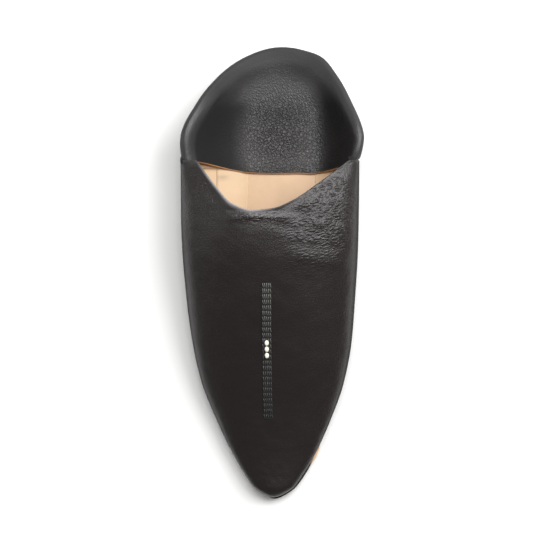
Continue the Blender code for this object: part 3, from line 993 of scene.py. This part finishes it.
def back_wear_and_sheen(spot):
    """Paler leather towards the rear and where the heel rubs the flat, partly wear and partly painted sheen,
    and a painted light band on top of the ridge, where the fold's top faces up.
    """
    turn, inside = from_outline(spot)
    middle = ramp(spot.y, -0.030, -0.010) * ramp(spot.y, 0.0345, 0.0235)
    heel = ramp(spot.x, -0.110, -0.086) * ramp(spot.x, -0.064, -0.078)
    rear = 0.19 * ramp(spot.x, -0.108, -0.124)
    for x, y in ((-0.123, -0.024), (-0.124, 0.024)):
        rear += 0.26 * bell(math.hypot((spot.x - x) / 0.010, (spot.y - y) / 0.012))
    band = 0.0098 - 0.0045 * turn / 180
    height = spot.z / (smooth(FOLD, "turn", "ridge", turn) * RIDGE_RISE + seat(spot.x))
    ridge = 0.28 * ramp(inside, band + 0.0008, band - 0.0010) * ramp(height, 0.55, 0.85)
    return max(middle * (0.20 + 1.05 * heel * ramp(spot.y, 0.050, 0.000)), rear, ridge)


def back_dull_and_shade(spot):
    """Dull leather with painted shade on the ridge's outer shoulder at the rear, down its lateral inner wall
    and along the outline; less on the rubbed flat.
    """
    turn, inside = from_outline(spot)
    rear = ramp(inside, 0.0105, 0.0045) * ramp(turn, 20.0, 45.0) * ramp(turn, 165.0, 130.0)
    wall = ramp(spot.y, -0.012, -0.024) * ramp(inside, 0.0085, 0.0110) * ramp(spot.x, -0.122, -0.108)
    outer = ramp(inside, 0.0016, 0.0004)
    rubbed = bell(math.hypot((spot.x + 0.086) / 0.016, (spot.y + 0.004) / 0.028))
    return max(0.60 * rear, 0.85 * wall, 0.6 * outer) - 0.24 * rubbed


back_rows = [fold_ray(180 * i / BACK_RAYS) for i in range(BACK_RAYS + 1)]
inner_start = BACK_SIDE_STEPS + BACK_ROLL_STEPS
back_rows = soften(back_rows, inner_start, len(back_rows[0]) - 1, 900)
for row in back_rows:
    for point in row[inner_start + 1:]:
        point.x += settle(point)
    for number, point in enumerate(row[:inner_start]):
        side = -1 if point.y < 0 else 1
        tuck = ramp(point.x, x_at(SEAM) - 0.0012, x_at(FLAP_END)) * ramp(number, inner_start, BACK_SIDE_STEPS)
        point.y -= side * SIDE_TUCK * tuck


def cut_offset(bend, normal):
    """Step from a sheet's edge round its cut, at an angle from the face."""
    angle = math.radians(bend)
    return Vector((CUT_BEVEL * math.sin(angle), 0.0, 0.0)) - normal * CUT_BEVEL * (1 - math.cos(angle))


def side_cut(row, beside):
    """Rows that round off the sheet in front of its first or last row."""
    made = []
    for bend in CUT_BENDS:
        line = []
        for c, point in enumerate(row):
            normal = (row[min(c + 1, len(row) - 1)] - row[max(c - 1, 0)]).cross(beside[c] - point)
            normal = normal.normalized() if normal.length > 1e-9 else Vector((0.0, 0.0, 1.0))
            line.append(point + cut_offset(bend, -normal if normal.z < 0 else normal))
        made.append(line)
    return made


cut_from = len(back_rows[0]) - 1
before = side_cut(back_rows[0], back_rows[1])
after = side_cut(back_rows[-1], back_rows[-2])
upright = Vector((0.0, 0.0, 1.0))
for row in back_rows:
    row.extend([row[cut_from] + cut_offset(bend, upright) for bend in CUT_BENDS])
for rows_made, corner in ((before, back_rows[0][cut_from]), (after, back_rows[-1][cut_from])):
    for made, bend in zip(rows_made, CUT_BENDS):
        made.extend([corner + cut_offset(max(bend, other), upright) for other in CUT_BENDS])
back_rows = before[::-1] + back_rows + after
cut_sides = len(before)


def back_slot(r, c):
    """The cut edge shows tan leather inside the shoe, the rest of the face is black."""
    on_side = r < cut_sides or r >= len(back_rows) - 1 - cut_sides
    return 1 if (on_side and c > inner_start) or c >= cut_from else 0


cut_look = natural_leather("cut_edge_look", (0.42, 0.21, 0.085), (0.16, 0.080, 0.035))
# The flap's pale third colour is wear with painted sheen on the flat, and a painted light band on the ridge's
# top.
flap_look = black_leather(
    "flap_leather_look", (0.0070, 0.0066, 0.0072), (0.0085, 0.0080, 0.0082),
    (0.0800, 0.0775, 0.0780), 0.36, 0.00095)
back = grid_object("folded_back", back_rows, [flap_look, cut_look, natural_look], back_slot)
paint(back, "grain", lambda spot: 0.06 + 0.94 * blob_sum(BACK_GRAIN, spot))
paint(back, "wrinkle", lambda spot: 0.0)
# Painted shade, with duller leather, on the ridge's rear shoulder, lateral inner wall and outline.
paint(back, "dull", back_dull_and_shade)
# Wear with painted sheen on the flat and the rear, and painted light on the ridge's top.
paint(back, "rubbed", back_wear_and_sheen)
wall = back.modifiers.new("wall", "SOLIDIFY")
wall.thickness = WALL
wall.offset = -1.0
wall.material_offset_rim = 1
wall.material_offset = 2
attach(back, "root")
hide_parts("upper")

# Stitch band
# A strip of hand stitching down the middle of the vamp: short rows of twisted black thread,
# five stitches to a row, over a thin bed of the same thread.
BAND_WIDTH = 0.0060
BAND_THICKNESS = 0.0008
BAND_START = 0.519
BAND_END = 0.818
BED_THICKNESS = 0.00035
BED_STATIONS = 90
BED_COLUMNS = 12
STITCH_ROWS = 25
STITCHES_IN_ROW = 5
STITCH_LENGTH = 0.0026
STITCH_WIDTH = 0.00070
STITCH_ARCH = 0.00042
STITCH_LEAN = 0.16
STITCH_SEED = 7


def crown_frame(x, across, height):
    """A point at a height above the vamp's outer face, and the slope of the crown there."""
    spans, centre, _, _ = vamp_shape(x)
    side = -1 if across < 0 else 1
    level = 1 + math.acos(abs(across) / spans[side]) * 2 / math.pi
    point = vamp_point(x, side, level)
    step = LENGTH / 1000
    ahead = vamp_point(x + step, side, level)
    behind = vamp_point(x - step, side, level)
    forward = (ahead - behind).normalized()
    beside = vamp_point(x, side, level - 0.01 * side)
    inward = vamp_point(x, side, level - 0.02 * side)
    sideways = (inward - beside).normalized()
    normal = forward.cross(sideways).normalized()
    return point + normal * height, forward, normal


def socket_id(tree, name):
    """The identifier of a node group's input socket, by its name."""
    for item in tree.interface.items_tree:
        if item.item_type == "SOCKET" and item.in_out == "INPUT" and item.name == name:
            return item.identifier
    raise KeyError(name)


def stitch_tree():
    """A Geometry Nodes group that sets an arched stitch on each point of a mesh."""
    tree, asked, given = group_tree(
        "stitches_on_points", "GeometryNodeTree",
        {"Geometry": "Geometry", "Length": "Float", "Width": "Float", "Arch": "Float",
         "Lean": "Float", "Seed": "Int", "Material": "Material"}, {"Geometry": "Geometry"})

    def chance(low, high, seed):
        """A random number for each stitch."""
        node = add_node(tree, "FunctionNodeRandomValue", data_type="FLOAT", Seed=seed)
        feed(tree, node.inputs[2], low)
        feed(tree, node.inputs[3], high)
        return node.outputs[1]

    line = add_node(
        tree, "GeometryNodeCurvePrimitiveLine", Start=(-0.5, 0.0, 0.0), End=(0.5, 0.0, 0.0))
    points = add_node(tree, "GeometryNodeResampleCurve", Curve=line.outputs["Curve"], Count=9)
    where = tree.nodes.new("GeometryNodeInputPosition")
    x = add_node(tree, "ShaderNodeSeparateXYZ", Vector=where.outputs[0]).outputs["X"]
    arch = maths(tree, "SUBTRACT", 1.0, times(tree, times(tree, x, x), 4.0))
    bent = add_node(
        tree, "ShaderNodeCombineXYZ", X=times(tree, x, asked["Length"]),
        Z=times(tree, arch, asked["Arch"]))
    bend = add_node(
        tree, "GeometryNodeSetPosition", Geometry=points.outputs["Curve"], Position=bent.outputs[0])
    ring = add_node(
        tree, "GeometryNodeCurvePrimitiveCircle", Resolution=8, Radius=times(tree, asked["Width"], 0.5))
    tube = add_node(
        tree, "GeometryNodeCurveToMesh", Fill_Caps=True, Curve=bend.outputs["Geometry"],
        Profile_Curve=ring.outputs["Curve"])

    up, along = [
        add_node(tree, "GeometryNodeInputNamedAttribute", data_type="FLOAT_VECTOR", Name=name)
        for name in ("up", "forward")]
    axes = add_node(
        tree, "FunctionNodeAxesToRotation", primary_axis="Z", secondary_axis="X",
        Primary_Axis=up.outputs["Attribute"], Secondary_Axis=along.outputs["Attribute"])
    spin = chance(times(tree, asked["Lean"], 0.3), times(tree, asked["Lean"], 1.7), asked["Seed"])
    lean = add_node(tree, "ShaderNodeCombineXYZ", Z=spin)
    turn = add_node(tree, "FunctionNodeEulerToRotation", Euler=lean.outputs[0])
    both = add_node(tree, "FunctionNodeRotateRotation", rotation_space="LOCAL")
    tree.links.new(axes.outputs[0], both.inputs[0])
    tree.links.new(turn.outputs[0], both.inputs[1])

    place = add_node(
        tree, "GeometryNodeInstanceOnPoints", Points=asked["Geometry"], Instance=tube.outputs["Mesh"],
        Rotation=both.outputs[0], Scale=chance(0.88, 1.06, maths(tree, "ADD", asked["Seed"], 1)))
    real = add_node(tree, "GeometryNodeRealizeInstances", Geometry=place.outputs["Instances"])
    soft = add_node(tree, "GeometryNodeSetShadeSmooth", Geometry=real.outputs["Geometry"])
    dress = add_node(
        tree, "GeometryNodeSetMaterial", Geometry=soft.outputs["Geometry"], Material=asked["Material"])
    tree.links.new(dress.outputs["Geometry"], given["Geometry"])
    return tree


def stitches_object(name, spots, length, width, arch, lean, seed, material):
    """Stitches on points, each with its place, direction and normal, as one plain mesh."""
    mesh = bpy.data.meshes.new(name + "_points")
    mesh.from_pydata([spot[0] for spot in spots], [], [])
    for attribute, column in (("forward", 1), ("up", 2)):
        layer = mesh.attributes.new(attribute, "FLOAT_VECTOR", "POINT")
        layer.data.foreach_set("vector", [value for spot in spots for value in spot[column]])
    item = bpy.data.objects.new(name, mesh)
    scene.collection.objects.link(item)
    made = item.modifiers.new("stitches", "NODES")
    made.node_group = stitch_nodes
    values = {"Length": length, "Width": width, "Arch": arch, "Lean": lean, "Seed": seed, "Material": material}
    for socket, value in values.items():
        made[socket_id(stitch_nodes, socket)] = value
    item.update_tag()
    graph = bpy.context.evaluated_depsgraph_get()
    plain = bpy.data.meshes.new_from_object(item.evaluated_get(graph), depsgraph=graph)
    item.modifiers.clear()
    item.data = plain
    plain.name = name
    return item


bed_look, tree, shader = new_material("thread_bed_look", (0.0055, 0.0050, 0.0052), 0.55)
add_bump(tree, shader, add_noise(tree, 1800.0, 2.0), 0.5, 0.00006)
thread_look, tree, shader = new_material("black_thread_look", (0.045, 0.045, 0.043), 0.30)
place = add_node(tree, "ShaderNodeTexCoord")
along = add_node(tree, "ShaderNodeSeparateXYZ", Vector=place.outputs["Object"])
# The thread is painted lighter at the band's rear end and darker towards the toe: painted glints on the rear
# rows.
painted_glint_fade = map_range(tree, along.outputs["X"], From_Min=x_at(BAND_START), From_Max=x_at(BAND_END))
tone = mix_colours(tree, painted_glint_fade, (0.110, 0.110, 0.102), (0.018, 0.018, 0.018))
tree.links.new(tone, shader.inputs["Base Color"])
twist = add_texture(
    tree, "ShaderNodeTexWave", Scale=900.0, Distortion=1.5, Detail=1.0, bands_direction="DIAGONAL")
add_bump(tree, shader, twist, 0.6, 0.00008)

stitch_nodes = stitch_tree()
bed_rows = []
for c in range(BED_COLUMNS + 1):
    across = BAND_WIDTH / 2 * (2 * c / BED_COLUMNS - 1)
    rim = math.sqrt(max(1 - abs(2 * c / BED_COLUMNS - 1) ** 4, 0.0))
    bed_rows.append([
        crown_frame(x, across, 0.00005 + BED_THICKNESS * rim)[0]
        for x in stations(BAND_START, BAND_END, BED_STATIONS)])
bed = grid_object("stitch_bed", bed_rows, [bed_look])
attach(bed, "root")
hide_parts("stitch_band")

spots = []
row_pitch = (x_at(BAND_END) - x_at(BAND_START)) / STITCH_ROWS
for r in range(STITCH_ROWS):
    for c in range(STITCHES_IN_ROW):
        x = x_at(BAND_START) + row_pitch * (r + 0.5)
        across = BAND_WIDTH * ((c + 0.5) / STITCHES_IN_ROW - 0.5)
        spots.append(crown_frame(x, across, BED_THICKNESS))
stitches = stitches_object(
    "stitch_rows", spots, STITCH_LENGTH, STITCH_WIDTH, STITCH_ARCH, STITCH_LEAN, STITCH_SEED, thread_look)
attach(stitches, "root")
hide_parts("stitch_band")

# Beads
# Three oval cream beads threaded one behind the other over the band, glazed, and yellower below.
BEAD_LENGTH = 0.0037
BEAD_WIDTH = 0.0028
BEAD_PITCH = 0.0041
MIDDLE_BEAD = 0.661
BEAD_HOLE = 0.00042
BEAD_STEPS = 24
BEAD_SPIN_STEPS = 32

bead_look, tree, shader = new_material("bead_glaze_look", (0.90, 0.87, 0.72), 0.28)
tone = mix_colours(tree, read_points(tree, "below"), (0.93, 0.91, 0.80), (0.78, 0.55, 0.18))
tree.links.new(tone, shader.inputs["Base Color"])
add_bump(tree, shader, add_noise(tree, 1500.0, 2.0), 0.3, 0.00005)
shader.inputs["Coat Weight"].default_value = 0.5
shader.inputs["Coat Roughness"].default_value = 0.12

for number in (1, 2, 3):
    x = x_at(MIDDLE_BEAD) + (number - 2) * BEAD_PITCH
    height = 2 * CLEARANCE + BAND_THICKNESS + BEAD_WIDTH / 2
    centre, forward, normal = crown_frame(x, 0.0, height)
    turn = Matrix((forward, normal.cross(forward), normal)).transposed()
    rings = []
    for i in range(BEAD_STEPS + 1):
        bend = math.pi * i / BEAD_STEPS
        out = BEAD_WIDTH / 2 * math.sin(bend)
        run = -BEAD_LENGTH / 2 * math.cos(bend)
        if out < BEAD_HOLE:
            run *= 0.62 + 0.38 * out / BEAD_HOLE
        ring = []
        for j in range(BEAD_SPIN_STEPS + 1):
            spin = 2 * math.pi * j / BEAD_SPIN_STEPS
            ring.append(centre + turn @ Vector((run, out * math.cos(spin), out * math.sin(spin))))
        rings.append(ring)
    bead = grid_object(f"bead_{number}_glazed", rings, [bead_look])
    close_normals(bead)
    paint(bead, "below", lambda spot: (
        min(max(0.5 - (spot - centre).dot(normal) / BEAD_WIDTH * 1.6, 0.0), 1.0) ** 2))
    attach(bead, "root")
    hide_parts(f"bead_{number}")

# Side tacks
# Short bars of black thread that hold the vamp's corners over the folded back at each side.
Tack = namedtuple("Tack", "side level bars length width")
# level is as in the vamp's lines, bars how many threads lie side by side
TACKS = [Tack(*row) for row in (
    (-1, 1.06, 6, 0.0050, 0.00110),
    (1, 1.26, 4, 0.0036, 0.00095),
)]
TACK_SINK = 0.0009
TACK_ARCH = 0.0006
TACK_LEAN = 0.14
TACK_SEED = 3
tack_look, tree, shader = new_material("tack_thread_look", (0.008, 0.008, 0.013), 0.80)
twist = add_texture(
    tree, "ShaderNodeTexWave", Scale=700.0, Distortion=1.0, bands_direction="DIAGONAL")
add_bump(tree, shader, twist, 0.6, 0.00010)
for tack in TACKS:
    spots = []
    for bar in range(tack.bars):
        level = tack.level + (bar - (tack.bars - 1) / 2) * 0.024 * tack.width / 0.0009
        x = x_at(SEAM)
        point = vamp_point(x, tack.side, level)
        forward = Vector((1.0, 0.0, 0.0))
        above = vamp_point(x, tack.side, level + 0.01) - vamp_point(x, tack.side, level - 0.01)
        normal = above.cross(forward).normalized()
        if normal.y * tack.side < 0:
            normal = -normal
        spots.append((point - normal * TACK_SINK, forward, normal))
    name = "lateral_tack" if tack.side < 0 else "medial_tack"
    threads = stitches_object(
        name, spots, tack.length, tack.width, TACK_ARCH, TACK_LEAN, TACK_SEED, tack_look)
    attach(threads, "root")
    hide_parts("upper")
